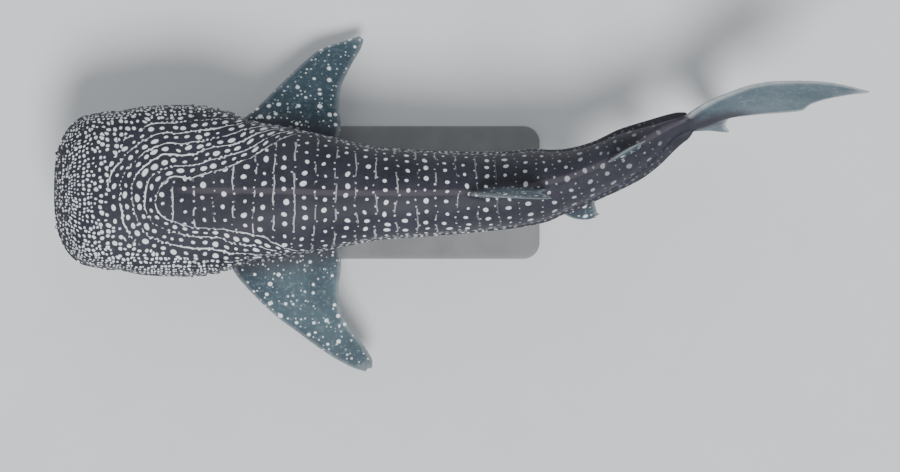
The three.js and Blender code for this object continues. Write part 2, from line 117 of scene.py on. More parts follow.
def heading(distance):
    """Unit direction of the backbone seen from above, from two points 8 mm apart."""
    ahead = curve(BACKBONE, 1, distance + 4) - curve(BACKBONE, 1, distance - 4)
    across = curve(BACKBONE, 2, distance + 4) - curve(BACKBONE, 2, distance - 4)
    length = np.hypot(ahead, across)
    return ahead / length, across / length


def body_point(distance, angle):
    """Ring of the body: a squared ellipse, width by cosine and height by sine of the angle, each to
    a power, shrunk to nothing at the snout by a rounded front, set square to the backbone."""
    s = np.maximum(distance, 0.001)
    front_width = (1 - (1 - np.minimum(s / SNOUT_ABOVE, 1)) ** 2) ** POWER_ABOVE
    front_height = (1 - (1 - np.minimum(s / SNOUT_BESIDE, 1)) ** 2) ** POWER_BESIDE
    middle = curve(BODY, 4, s)
    power = 2 / curve(BODY, 5, s)
    c, n = np.cos(np.radians(angle)), np.sin(np.radians(angle))
    reach = np.abs(np.where(n > 0, curve(BODY, 2, s), curve(BODY, 3, s)) - middle)
    side = curve(BODY, 1, s) * front_width * np.sign(c) * np.abs(c) ** power
    rise = middle + reach * front_height * np.sign(n) * np.abs(n) ** power
    ahead, across = heading(s)
    roll = np.radians(curve(BACKBONE, 3, s))
    sideways = side * np.cos(roll) + rise * np.sin(roll)
    upward = rise * np.cos(roll) - side * np.sin(roll)
    return np.stack([curve(BACKBONE, 1, s) - across * sideways,
                     curve(BACKBONE, 2, s) + ahead * sideways,
                     AXIS_HEIGHT + upward], axis=-1)


def body_outward(distance, angle):
    """Unit normal of the smooth body, from the cross product of its two directions. Behind the
    head it is square to the backbone."""
    lengthwise = body_point(distance + 2, angle) - body_point(distance - 0.4, angle)
    around = body_point(distance, angle + 0.5) - body_point(distance, angle - 0.5)
    out = -np.cross(lengthwise, around)
    out = np.where((distance < 0.5)[..., None], np.array([-1.0, 0, 0]), out)
    out = out / np.linalg.norm(out, axis=-1, keepdims=True)
    ahead, across = heading(distance)
    axis = np.stack([ahead, across, np.zeros_like(ahead)], axis=-1)
    flat = step(distance, 400, 700)[..., None]
    out = out - axis * flat * np.sum(out * axis, axis=-1, keepdims=True)
    return out / np.linalg.norm(out, axis=-1, keepdims=True)


def bump(value, centre, foot):
    """A rounded ridge: 1 at the centre, 0 beyond the foot, a cosine between."""
    d = np.clip(np.abs(value - centre) / foot, 0, 1)
    return (0.5 + 0.5 * np.cos(np.pi * d)) ** 1.5


def from_spot(point, place, axis, along, up):
    """Distance of each point from a spot on either side of the head, as a share of the spot's size,
    seen from the side (axis 0) or from the front (axis 1)."""
    spot = body_point(np.array(float(place[0])), np.array(float(place[1])))
    folded = np.stack([point[..., 0], np.abs(point[..., 1])], axis=-1)
    away = np.hypot((folded[..., axis] - spot[axis]) / along, (point[..., 2] - spot[2]) / up)
    return away + 9 * (np.abs(folded[..., 1 - axis] - spot[1 - axis]) > 140)


def relief(distance, angle, point):
    """Height on the smooth body: ridges, keel, lips and mouth groove, gill flaps, the rims of the
    eyes, the spiracles, the nostrils and the short barbels beside them."""
    height = 90 - np.abs(((angle + 270) % 360) - 180)
    value = curve(RIDGES, 1, distance) * bump(height, 90, 8)
    for ridge in (62, 38):
        value = value + curve(RIDGES, 2, distance) * bump(height, ridge, 5)
    value = value + curve(RIDGES, 3, distance) * bump(height, 10, 10)
    closed = 1 - step(distance, MOUTH_CORNER - 40, MOUTH_CORNER + 30)
    above = point[..., 2] - AXIS_HEIGHT - curve(BODY, 4, distance)
    lips = bump(above, 27, 21) + bump(above, -29, 23)
    value += closed * (LIP_HEIGHT * lips - GROOVE_DEPTH * bump(above, 0, 14))
    on_side = step(height, -46, -30) * (1 - step(height, 48, 62))
    for slit in GILL_SLITS:
        d = distance - slit
        flap = FLAP_HEIGHT * step(d, -42, -3)
        drop = FLAP_HEIGHT - (FLAP_HEIGHT + SLIT_DEPTH) * (d + 3) / 6
        behind = -SLIT_DEPTH * (1 - step(d, 3, 40))
        value += on_side * np.where(d <= -3, flap, np.where(d <= 3, drop, behind))
    eye = from_spot(point, EYE_PLACE, 0, 27, 27)
    value += SOCKET_RIM * bump(eye, 1.5, 0.9) - SOCKET_DEPTH * (1 - step(eye, 0.75, 1.12))
    spiracle = from_spot(point, SPIRACLE_PLACE, 0, 17, 22)
    value += SPIRACLE_RIM * bump(spiracle, 1.45, 0.7) - SPIRACLE_DEPTH * (1 - step(spiracle, 0.3, 1.1))
    nostril = from_spot(point, NOSTRIL_PLACE, 1, 24, 9)
    value -= NOSTRIL_DEPTH * (1 - step(nostril, 0.25, 1.1))
    barbel = from_spot(point, BARBEL_PLACE, 1, 14, 11)
    value += BARBEL_HEIGHT * (1 - step(barbel, 0.1, 1.1))
    return value


def skin_point(distance, angle):
    """Point on the skin: the smooth body moved out by its relief, gill rings bowed a little."""
    bow = FLAP_BOW * step(distance, 902, 945) * (1 - step(distance, 1330, 1400))
    s = distance - bow * np.cos(np.radians(angle)) ** 2
    smooth = body_point(s, angle)
    return smooth + body_outward(s, angle) * relief(distance, angle, smooth)[..., None]


def closed_grid(rings, first, last):
    """Points and faces of a tube of rings, closed at each end by a fan to one point."""
    rows, count = rings.shape[:2]
    corner = np.arange((rows - 1) * count).reshape(rows - 1, count)
    beside = np.roll(corner, -1, axis=1)
    quads = np.stack([corner, beside, beside + count, corner + count], axis=-1).reshape(-1, 4)
    ring = np.arange(count)
    start = rows * count
    fan_a = np.stack([np.full(count, start), np.roll(ring, -1), ring], axis=-1)
    tail = (rows - 1) * count
    fan_b = np.stack([np.full(count, start + 1), tail + ring, tail + np.roll(ring, -1)], axis=-1)
    points = np.concatenate([rings.reshape(-1, 3), first[None], last[None]])
    return points, quads.tolist() + fan_a.tolist() + fan_b.tolist()


# The frame is in metres, and the middle of its slab tells where the snout lies in it
slab_low, slab_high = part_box("stand_base")
snout_in_frame = np.array([(slab_low[0] + slab_high[0]) / 2 - SLAB_MIDDLE[0] / 1000,
                           (slab_low[1] + slab_high[1]) / 2 - SLAB_MIDDLE[1] / 1000, 0.0])


def new_piece(name, points, faces):
    """A smooth-shaded mesh object of points in millimetres from the snout, moved into the frame.
    Its faces are turned outward if the volume they enclose comes out negative."""
    centred = points - points.mean(axis=0)
    corners = centred[np.array([face[:3] for face in faces])]
    last = centred[np.array([[face[0], face[-2], face[-1]] for face in faces])]
    four = np.array([len(face) == 4 for face in faces])
    volume = (np.sum(corners[:, 0] * np.cross(corners[:, 1], corners[:, 2]))
              + np.sum((last[:, 0] * np.cross(last[:, 1], last[:, 2]))[four]))
    mesh = bpy.data.meshes.new(name)
    order = [face[::-1] for face in faces] if volume < 0 else faces
    mesh.from_pydata((points / 1000 + snout_in_frame).tolist(), [], order)
    mesh.polygons.foreach_set("use_smooth", np.ones(len(mesh.polygons), bool))
    mesh.validate()
    piece = bpy.data.objects.new(name, mesh)
    bpy.context.scene.collection.objects.link(piece)
    return piece


# Angles of a ring's points, close together at the ridges, the keel, the eye and the mouth
half_ring = np.concatenate([
    np.linspace(90, 66, 14), np.linspace(65, 58, 9), np.linspace(57, 42, 13), np.linspace(41, 34, 9),
    np.linspace(33, 16, 13), np.linspace(15, 5, 14), np.linspace(4, -4, 11), np.linspace(-5, -14, 10),
    np.linspace(-16, -90, 26),
])
ring_angles = np.concatenate([half_ring, 180 - half_ring[1:-1][::-1]])
# Places of the rings, close together at the snout, the eye, the spiracle and the gill slits
beside_slit = np.array([-42, -32, -22, -12, -6, -3, 0, 3, 7, 13, 22, 32])
gill_rings = np.concatenate([beside_slit + slit for slit in GILL_SLITS])
rings_at = np.concatenate([
    300 * np.linspace(0.04, 1, 70) ** 2, np.arange(308, 400, 6.5), np.arange(404, 446, 9),
    np.arange(448, 500, 6.5), np.arange(506, 902, 13), gill_rings, np.arange(1345, 4335, 25), [4335],
])
distances, angles = np.meshgrid(np.unique(rings_at), ring_angles, indexing="ij")
rings = skin_point(distances, angles)
snout = skin_point(np.array(0.0), np.array(0.0))
skin = new_piece("skin", *closed_grid(rings, snout, rings[-1].mean(axis=0)))

# Fins: stiff blades of the same skin, a round leading edge and a thin trailing edge, grown out of
# the body with a soft hollow at the root. Each is a blade section carried along its span.
# Rows: share of the span, the leading edge's point, the trailing edge's point, thickness.
FINS = {
    "pectoral_left": [
        [0, 1130, -430, 490, 1800, -230, 510, 165], [0.12, 1187, -545, 480, 1905, -375, 500, 118],
        [0.25, 1262, -640, 456, 1903, -510, 470, 90], [0.4, 1372, -755, 420, 1885, -655, 425, 66],
        [0.55, 1490, -862, 380, 1898, -795, 378, 47], [0.7, 1625, -962, 335, 1945, -905, 330, 33],
        [0.83, 1772, -1072, 290, 2030, -1010, 290, 22], [0.93, 1900, -1152, 255, 2085, -1090, 260, 14],
        [0.98, 2000, -1200, 235, 2112, -1150, 240, 9], [1, 2060, -1217, 226, 2110, -1190, 230, 6]],
    "pectoral_right": [
        [0, 1170, 400, 490, 1790, 230, 510, 165], [0.12, 1245, 478, 480, 1880, 340, 495, 118],
        [0.25, 1330, 548, 436, 1902, 440, 455, 90], [0.4, 1432, 652, 372, 1890, 560, 385, 66],
        [0.55, 1540, 762, 305, 1900, 690, 312, 47], [0.7, 1650, 868, 238, 1945, 802, 242, 33],
        [0.83, 1755, 952, 182, 1990, 890, 188, 22], [0.93, 1880, 1000, 150, 2025, 948, 155, 14],
        [0.98, 1975, 1030, 134, 2045, 998, 138, 9], [1, 2020, 1045, 128, 2050, 1022, 132, 6]],
    "first_dorsal": [
        [0, 2660, -25, 930, 3190, 5, 900, 120], [0.15, 2730, -28, 1030, 3262, 2, 1006, 84],
        [0.3, 2800, -32, 1120, 3268, -2, 1062, 64], [0.45, 2880, -38, 1218, 3236, -12, 1140, 50],
        [0.6, 2962, -44, 1312, 3232, -22, 1238, 38], [0.75, 3040, -50, 1398, 3250, -34, 1330, 27],
        [0.87, 3115, -56, 1462, 3275, -44, 1402, 18], [0.95, 3180, -60, 1498, 3293, -54, 1452, 12],
        [1, 3240, -62, 1512, 3300, -60, 1490, 6]],
    "second_dorsal": [
        [0, 3625, 150, 840, 3830, 240, 815, 60], [0.25, 3668, 180, 918, 3902, 282, 890, 40],
        [0.5, 3728, 218, 992, 3896, 292, 940, 28], [0.75, 3788, 256, 1058, 3898, 304, 1010, 18],
        [0.92, 3846, 288, 1100, 3916, 316, 1070, 10], [1, 3886, 306, 1112, 3922, 322, 1096, 6]],
    "pelvic_left": [
        [0, 3290, -60, 530, 3530, 10, 545, 70], [0.25, 3352, -128, 490, 3598, -60, 500, 46],
        [0.5, 3420, -170, 450, 3612, -118, 455, 32], [0.75, 3490, -192, 410, 3622, -148, 412, 20],
        [0.92, 3548, -196, 380, 3636, -160, 384, 11], [1, 3590, -184, 368, 3640, -168, 370, 6]],
    "pelvic_right": [
        [0, 3250, 100, 530, 3480, 165, 545, 70], [0.25, 3298, 158, 478, 3540, 222, 490, 46],
        [0.5, 3352, 200, 420, 3545, 250, 430, 32], [0.75, 3412, 232, 366, 3548, 270, 372, 20],
        [0.92, 3466, 250, 330, 3558, 280, 336, 11], [1, 3510, 264, 314, 3562, 284, 320, 6]],
    "anal": [
        [0, 3700, 170, 560, 3870, 250, 590, 50], [0.25, 3745, 190, 480, 3952, 284, 512, 36],
        [0.5, 3802, 212, 408, 3946, 282, 452, 26], [0.75, 3862, 236, 344, 3950, 280, 386, 17],
        [0.92, 3912, 256, 306, 3968, 284, 334, 10], [1, 3944, 270, 294, 3976, 286, 310, 6]],
}
# The tail fin's middle seen from above, and its lobes as x and height above the backbone
TAIL_MIDDLE = np.array([[4100, 392], [4250, 462], [4392, 503], [4624, 516], [4880, 462], [5121, 375],
                        [5373, 250]], float)
UPPER_LOBE = np.array([
    [0, 4120, 40, 4330, -130, 90], [0.1, 4195, 118, 4450, -96, 80], [0.22, 4340, 222, 4548, -62, 66],
    [0.34, 4480, 330, 4680, -18, 56], [0.46, 4624, 436, 4806, 76, 48], [0.58, 4770, 544, 4912, 168, 40],
    [0.68, 4890, 632, 4968, 232, 34], [0.77, 5000, 712, 5012, 360, 28], [0.86, 5110, 794, 5088, 502, 23],
    [0.93, 5220, 866, 5186, 660, 17], [0.975, 5305, 918, 5274, 800, 11], [1, 5362, 950, 5350, 912, 6],
], float)
LOWER_LOBE = np.array([
    [0, 4130, 60, 4560, -10, 80], [0.15, 4150, -90, 4512, -72, 66], [0.35, 4200, -190, 4492, -160, 50],
    [0.55, 4272, -304, 4484, -268, 37], [0.75, 4360, -420, 4490, -380, 25],
    [0.9, 4440, -506, 4506, -470, 15], [1, 4500, -552, 4522, -540, 6],
], float)


def tail_rows(lobe, lean):
    """Rows of a lobe in space: sideways place is the middle curve plus lean times the height."""
    front = curve(TAIL_MIDDLE, 1, lobe[:, 1]) + lean * lobe[:, 2]
    back = curve(TAIL_MIDDLE, 1, lobe[:, 3]) + lean * lobe[:, 4]
    return np.stack([lobe[:, 0], lobe[:, 1], front, AXIS_HEIGHT + lobe[:, 2],
                     lobe[:, 3], back, AXIS_HEIGHT + lobe[:, 4], lobe[:, 5]], axis=-1)


FINS["tail_upper"] = tail_rows(UPPER_LOBE, 0.4)
FINS["tail_lower"] = tail_rows(LOWER_LOBE, 0.21)
# square root of the share of the chord, half thickness as a share of the whole
FIN_SECTION = np.array([[0, 0], [0.158, 0.34], [0.316, 0.66], [0.49, 0.93], [0.648, 1], [0.787, 0.8],
                        [0.906, 0.46], [1, 0.1]], float)


def fin_grid(rows, spans, shares):
    """Blade: at each span the chord from edge to edge, thickened both ways along the normal by the
    section's height at each share of the chord. The second result is 1 along the edges, 0 within."""
    rows = np.array(rows, float)
    at = [np.array([curve(rows, column, spans + shift) for column in range(1, 8)]).T
          for shift in (0, -0.02, 0.02)]
    front, back, thick = at[0][:, 0:3], at[0][:, 3:6], at[0][:, 6]
    outward = (at[2][:, 0:3] + at[2][:, 3:6]) - (at[1][:, 0:3] + at[1][:, 3:6])
    chord = back - front
    normal = np.cross(chord, outward)
    normal /= np.linalg.norm(normal, axis=1, keepdims=True)
    half = curve(FIN_SECTION, 1, np.sqrt(shares))[None, :] * thick[:, None] / 2
    least = np.minimum(3, 0.16 * thick)[:, None] * np.minimum(shares * 20, 1)[None, :]
    half = np.maximum(half, least)
    flat = front[:, None] + chord[:, None] * shares[None, :, None]
    upper = flat + normal[:, None] * half[..., None]
    lower = flat - normal[:, None] * half[..., None]
    inward = np.minimum(shares, 1 - shares)[None, :] * np.linalg.norm(chord, axis=1)[:, None]
    rim = np.maximum(1 - step(inward, 5, 38), step(spans, 0.95, 1)[:, None])
    blade = np.concatenate([upper, lower[:, 1:][:, ::-1]], axis=1)
    return blade, np.concatenate([rim, rim[:, 1:][:, ::-1]], axis=1)


def mark(piece, name, value):
    """One number at every point of a piece, under a name that a material can read."""
    layer = piece.data.attributes.new(name, "FLOAT", "POINT")
    numbers = np.broadcast_to(value, len(piece.data.vertices)).astype(np.float32)
    layer.data.foreach_set("value", numbers)


def join_to_skin(piece):
    """The skin takes in the fin: what lies inside either of them is removed."""
    union = skin.modifiers.new("union", "BOOLEAN")
    union.operation = "UNION"
    union.solver = "MANIFOLD"
    union.object = piece
    tree = bpy.context.evaluated_depsgraph_get()
    joined = bpy.data.meshes.new_from_object(skin.evaluated_get(tree))
    skin.modifiers.clear()
    skin.data = joined
    bpy.data.objects.remove(piece)


# What a point belongs to: a fin or the pale rim of a fin; and how deep it lies in a slit, groove or socket
# in the body, for the painted shade there
mark(skin, "fin", 0)
mark(skin, "rim", 0)
depth = -relief(distances, angles, body_point(distances, angles))
mark(skin, "hollow_shade", np.concatenate([step(depth, 3, 12).ravel(), [1, 0]]))
shares = (1 - np.cos(np.linspace(0, np.pi, 22))) / 2
NEAR_TIP = 0.85
for name, rows in FINS.items():
    long_fin = name.startswith(("pectoral", "tail_upper", "first"))
    spans = np.linspace(0, 1, 60 if long_fin else 34)
    past = (spans - NEAR_TIP) / (1 - NEAR_TIP)
    closer = NEAR_TIP + (spans - NEAR_TIP) * (2.2 - past * 1.2)
    spans = np.clip(np.where(spans > NEAR_TIP, closer, spans), 0, 1)
    grid, edge = fin_grid(rows, spans, shares)
    blade = new_piece(name, *closed_grid(grid, grid[0].mean(axis=0), grid[-1].mean(axis=0)))
    paleness = 0.85 if name.startswith("tail") else 0.4
    mark(blade, "fin", 1)
    mark(blade, "rim", np.concatenate([edge.ravel(), [0, 1]]) * paleness)
    mark(blade, "hollow_shade", 0)
    join_to_skin(blade)


def soften_roots(piece, width, rounds, fade):
    """Points near the line where a fin meets the body move toward the mean of their neighbours,
    most on the line and not at all beyond the width, which makes a soft hollow there. Two numbers
    then say how much a point is fin: one rises over 30 mm from that line, the other over the fade."""
    mesh = piece.data
    count = len(mesh.vertices)
    points = np.empty(count * 3, np.float32)
    mesh.vertices.foreach_get("co", points)
    points = points.reshape(-1, 3).astype(float)
    fin = np.empty(count, np.float32)
    mesh.attributes["fin"].data.foreach_get("value", fin)
    edges = np.empty(len(mesh.edges) * 2, np.int32)
    mesh.edges.foreach_get("vertices", edges)
    edges = edges.reshape(-1, 2)
    crossing = np.abs(fin[edges[:, 0]] - fin[edges[:, 1]]) > 0.4
    line = points[np.unique(edges[crossing])]
    far, batch = 9.0, 200
    away = np.full(count, far)
    for start in range(0, len(line), batch):
        some = line[start:start + batch]
        near = np.all((points > some.min(axis=0) - fade) & (points < some.max(axis=0) + fade), axis=1)
        gap = np.sqrt(((points[near][:, None] - some[None]) ** 2).sum(axis=2)).min(axis=1)
        away[near] = np.minimum(away[near], gap)
    weight = 1 - step(away, 0, width)
    degree = np.bincount(edges.ravel(), minlength=count).astype(float)
    for _ in range(rounds):
        total = np.zeros_like(points)
        for a, b in ((0, 1), (1, 0)):
            for axis in range(3):
                total[:, axis] += np.bincount(edges[:, a], points[edges[:, b], axis], count)
        points += 0.7 * weight[:, None] * (total / degree[:, None] - points)
    mesh.vertices.foreach_set("co", points.ravel().astype(np.float32))
    on_fin = fin > 0.5
    mesh.attributes["fin"].data.foreach_set("value", (on_fin * step(away, 0, 0.03)).astype(np.float32))
    mark(piece, "far_fin", on_fin * step(away, 0, fade))
    mesh.update()


soften_roots(skin, width=0.05, rounds=24, fade=0.2)


def body_coordinates(piece):
    """Where each point lies on the animal: distance along the backbone, arc from the middle of the
    back, and angle above the widest line. The distance is found by stepping along the backbone, and
    the arc is the way round an ellipse, plus the reach of a fin beyond it. On the tail fin the
    distance runs on straight backward."""
    mesh = piece.data
    points = np.empty(len(mesh.vertices) * 3, np.float32)
    mesh.vertices.foreach_get("co", points)
    points = (points.reshape(-1, 3) - snout_in_frame) * 1000
    backbone_end = BACKBONE[-1, 0]
    s = np.clip(points[:, 0], 0, backbone_end)
    for _ in range(10):
        ahead, across = heading(s)
        s += ((points[:, 0] - curve(BACKBONE, 1, s)) * ahead
              + (points[:, 1] - curve(BACKBONE, 2, s)) * across)
        s = np.clip(s, 0, backbone_end)
    ahead, across = heading(s)
    sideways = ((points[:, 1] - curve(BACKBONE, 2, s)) * ahead
                - (points[:, 0] - curve(BACKBONE, 1, s)) * across)
    upward = points[:, 2] - AXIS_HEIGHT
    roll = np.radians(curve(BACKBONE, 3, s))
    side = sideways * np.cos(roll) - upward * np.sin(roll)
    rise = upward * np.cos(roll) + sideways * np.sin(roll) - curve(BODY, 4, s)
    wide = curve(BODY, 1, s)
    tall = np.abs(np.where(rise > 0, curve(BODY, 2, s), curve(BODY, 3, s)) - curve(BODY, 4, s))
    turn = np.arctan2(np.abs(side) / wide, rise / tall)
    parts = 12
    arc = sum(np.hypot(wide * np.cos(turn * k / parts), tall * np.sin(turn * k / parts)) * turn / parts
              for k in range(parts))
    arc = arc + np.maximum(np.hypot(side, rise) - np.hypot(wide * np.sin(turn), tall * np.cos(turn)), 0)
    height = np.degrees(np.arctan2(rise / tall, np.abs(side) / wide))
    tail_root = 4330
    beyond = np.maximum(points[:, 0] - tail_root, 0) * (s > tail_root - 30)
    return s + beyond, arc * np.sign(side), height


def store(piece, name, *columns):
    """Three numbers at every point of a piece, under a name that a material can read."""
    layer = piece.data.attributes.new(name, "FLOAT_VECTOR", "POINT")
    layer.data.foreach_set("vector", np.stack(columns, axis=-1).astype(np.float32).ravel())


# The markings follow two sets of lines: bars across the back, and bows nested round the front of
# the bars, which run lengthwise on the sides of the head. Each bow keeps one distance from the bars.
BOW_CENTRE = 850
HALF_BARS = 150
LEFT_OF_MIDDLE = 85
SHOULDER = 1080
EASE = 400
along_body, arc, height = body_coordinates(skin)
from_middle = arc + LEFT_OF_MIDDLE * (1 - step(along_body, 1000, 1600))
before_bars = np.maximum(BOW_CENTRE - along_body, 0)
behind_centre = np.maximum(along_body - BOW_CENTRE, 0)
widening = np.maximum(along_body - SHOULDER, 0)
widening = np.where(widening < EASE, widening ** 2 / (2 * EASE), widening - EASE / 2)
half_bars = HALF_BARS + 0.15 * behind_centre + 0.7 * widening
bow = np.hypot(from_middle, before_bars) - half_bars
bow_turn = np.arctan2(np.abs(from_middle), np.maximum(before_bars, 1e-6))
side = np.sign(from_middle)
store(skin, "flow", along_body / 1000, arc / 1000, height / 90)
store(skin, "bow", bow / 1000, bow_turn * side, behind_centre / 1000 * side)

# On the snout the distance is measured over the curve of its top, millimetre by millimetre, so
# that dots keep their size down its front.
SNOUT_TOP = 225
profile_at = np.arange(601)
roundness = (1 - (1 - np.minimum(profile_at / SNOUT_BESIDE, 1)) ** 2) ** POWER_BESIDE
profile_length = np.concatenate([[0], np.cumsum(np.hypot(1, np.diff(SNOUT_TOP * roundness)))])
past_profile = np.maximum(along_body - profile_at[-1], 0)
over_snout = np.interp(along_body, profile_at, profile_length) + past_profile
mark(skin, "over_snout", over_snout / 1000)
normals = np.empty(len(skin.data.vertices) * 3, np.float32)
skin.data.vertex_normals.foreach_get("vector", normals)
store(skin, "facing", *normals.reshape(-1, 3).T)


class Wire:
    """One output of a material's nodes. + - * / on it and numbers add Math nodes, and node() adds
    any other node from its type, its settings and the values or links of its sockets."""

    def __init__(self, tree, output=None):
        self.tree = tree
        self.output = output

    def node(self, kind, settings=None, sockets=None, output=0):
        """A new node of a kind, its settings made first, then its sockets; the wire of one output."""
        made = self.tree.nodes.new(kind)
        for key, value in (settings or {}).items():
            setattr(made, key, value)
        for key, value in (sockets or {}).items():
            if isinstance(value, Wire):
                self.tree.links.new(value.output, made.inputs[key])
            else:
                made.inputs[key].default_value = value
        return Wire(self.tree, made.outputs[output] if len(made.outputs) else None)

    def math(self, operation, *others):
        """A Math node on this wire and others."""
        return self.node("ShaderNodeMath", {"operation": operation}, dict(enumerate((self, *others))))

    def __add__(self, other):
        return self.math("ADD", other)

    __radd__ = __add__

    def __mul__(self, other):
        return self.math("MULTIPLY", other)

    __rmul__ = __mul__

    def __sub__(self, other):
        return self.math("SUBTRACT", other)

    def __rsub__(self, other):
        return self.node("ShaderNodeMath", {"operation": "SUBTRACT"}, {0: other, 1: self})

    def __truediv__(self, other):
        return self.math("DIVIDE", other)

    def __rtruediv__(self, other):
        return self.node("ShaderNodeMath", {"operation": "DIVIDE"}, {0: other, 1: self})

    def between(self, low, high):
        """Smooth S from 0 at low to 1 at high."""
        return self.node("ShaderNodeMapRange", {"interpolation_type": "SMOOTHSTEP"},
                         {"Value": self, "From Min": low, "From Max": high})

    def also(self, output):
        """Another output of the same node."""
        return Wire(self.tree, self.output.node.outputs[output])

    def part(self, axis):
        """One of the three numbers of a vector."""
        return self.node("ShaderNodeSeparateXYZ", None, {0: self}, axis)


def vector(x, y, z=0.0):
    """A vector from wires and numbers."""
    return x.node("ShaderNodeCombineXYZ", None, {0: x, 1: y, 2: z})


def noise(place, scale, detail=3, roughness=0.55):
    """Soft cloudy noise, 0 to 1, so many waves to the metre."""
    return place.node("ShaderNodeTexNoise", None,
                      {"Vector": place, "Scale": scale, "Detail": detail, "Roughness": roughness})


def mix(amount, low, high):
    """Colour from low to high."""
    return amount.node("ShaderNodeMix", {"data_type": "RGBA"}, {0: amount, 6: low, 7: high}, 2)


def dots_in_rows(across, along, row_pitch, dot_pitch, radius, seed, stretch=1.0):
    """Rows of dots: each cell of a row has one dot, moved and sized by chance, and drawn out along
    the row by the stretch."""
    row = (across / row_pitch).math("FLOOR")
    chance = row.node("ShaderNodeTexWhiteNoise", {"noise_dimensions": "1D"}, {"W": row + seed}, "Value")
    steps = along / dot_pitch + chance
    cell = vector(row, steps.math("FLOOR"), seed)
    luck = cell.node("ShaderNodeTexWhiteNoise", {"noise_dimensions": "3D"}, {"Vector": cell}, "Color")
    over = ((across / row_pitch).math("FRACT") - 0.5 + (luck.part(0) - 0.5) * 0.2) * row_pitch
    beside = (steps.math("FRACT") - 0.5 + (luck.part(1) - 0.5) * 0.3) * (dot_pitch / stretch)
    away = (over * over + beside * beside).math("SQRT")
    size = (luck.part(2) * 0.6 + 0.6) * radius
    return 1 - (away / size).between(0.8, 1.14)


def lines_between_rows(across, along, row_pitch, width, place, length=0.18, gap=0.44):
    """Thin lines half way between the rows, broken by noise along them: about so long on the
    average, and the fewer the greater the gap."""
    from_line = (0.5 - ((across / row_pitch).math("FRACT") - 0.5).math("ABSOLUTE")) * row_pitch
    line_number = (across / row_pitch).math("ROUND")
    gate = noise(vector(line_number * 7.3, along / length), 1.0, 1).between(gap, gap + 0.05)
    wave = noise(place, 30, 1) * 0.6 + 0.7
    return (1 - (from_line / (wave * width)).between(0.6, 1.3)) * gate


def scattered_dots(place, pitch, radius, keep, seed, flat=False, ground=None, randomness=0.8):
    """Dots scattered a pitch apart, of which a share is kept, sized by chance. A ground is a rule
    that says from a dot's middle whether the dot is there, so that none is cut at its border."""
    shifted = place.node("ShaderNodeVectorMath", {"operation": "ADD"}, {0: place, 1: (seed, seed, seed)})
    settings = {"voronoi_dimensions": "2D" if flat else "3D", "feature": "F1"}
    sockets = {"Vector": shifted, "Scale": 1 / pitch, "Randomness": randomness}
    away = shifted.node("ShaderNodeTexVoronoi", settings, sockets, "Distance")
    settings["feature"] = "DISTANCE_TO_EDGE"
    apart = shifted.node("ShaderNodeTexVoronoi", settings, sockets, "Distance").between(0.05, 0.13)
    luck = away.also("Color")
    size = (luck.part(0) * 0.55 + 0.66) * (radius / pitch)
    dots = (1 - (away / size).between(0.78, 1.16)) * (luck.part(1) - (1 - keep)).between(0, 0.02) * apart
    if ground is None:
        return dots
    middle = away.also("Position")
    return dots * ground(middle.part(0) - seed, middle.part(1) - seed)


def blank_material(name):
    """A material without nodes, and the wire that its first nodes are made from."""
    material = bpy.data.materials.new(name)
    material.use_nodes = True
    material.node_tree.nodes.clear()
    return material, Wire(material.node_tree)


def stored(start, name, output="Fac"):
    """The number or the vector that the piece keeps at every point under a name."""
    return start.node("ShaderNodeAttribute", {"attribute_name": name}, None, output)


def blend(amount, low, high):
    """Number from low to high."""
    return low * (1 - amount) + high * amount


def finish_material(start, sockets):
    """The one shader of a material, with the values of its sockets, and the material's end."""
    surface = start.node("ShaderNodeBsdfPrincipled", None, sockets)
    start.node("ShaderNodeOutputMaterial", None, {"Surface": surface})


skin_material, start = blank_material("spotted_skin")
place = start.node("ShaderNodeTexCoord", None, None, "Object")
other_place = place.node("ShaderNodeVectorMath", {"operation": "ADD"}, {0: place, 1: (7, 3, 5)})
flow = stored(start, "flow", "Vector")
bows = stored(start, "bow", "Vector")
facing = stored(start, "facing", "Vector")
fin = stored(start, "fin")
far_fin = stored(start, "far_fin")
warp = noise(place, 5, 2) - 0.5
other_warp = noise(other_place, 6, 2) - 0.5
distance = flow.part(0) + warp * 0.07
across_back = flow.part(1) + other_warp * 0.06
up = flow.part(2)

# nested bows on the head and shoulders: dots in one row, a line or small dots in the next
BOW_PITCH = 0.082
slow_warp = noise(place, 1.8, 1) - 0.5
bow_row = bows.part(0) + warp * 0.07 + slow_warp * 0.16
row_middle = ((bow_row / BOW_PITCH).math("FLOOR") + 0.5) * BOW_PITCH + HALF_BARS / 1000
run = row_middle * bows.part(1) + bows.part(2) + other_warp * 0.05
bow_dots = dots_in_rows(bow_row, run, BOW_PITCH, dot_pitch=0.070, radius=0.0146, seed=1.0, stretch=1.4)
bow_lines = lines_between_rows(bow_row, run, BOW_PITCH, 0.0048, place, length=0.18, gap=0.47)
bow_small = dots_in_rows(bow_row + BOW_PITCH / 2, run, BOW_PITCH, dot_pitch=0.034, radius=0.0070,
                         seed=3.0, stretch=1.3) * (1 - bow_lines)
bow_marks = (bow_dots.math("MAXIMUM", bow_lines)).math("MAXIMUM", bow_small * 0.9)

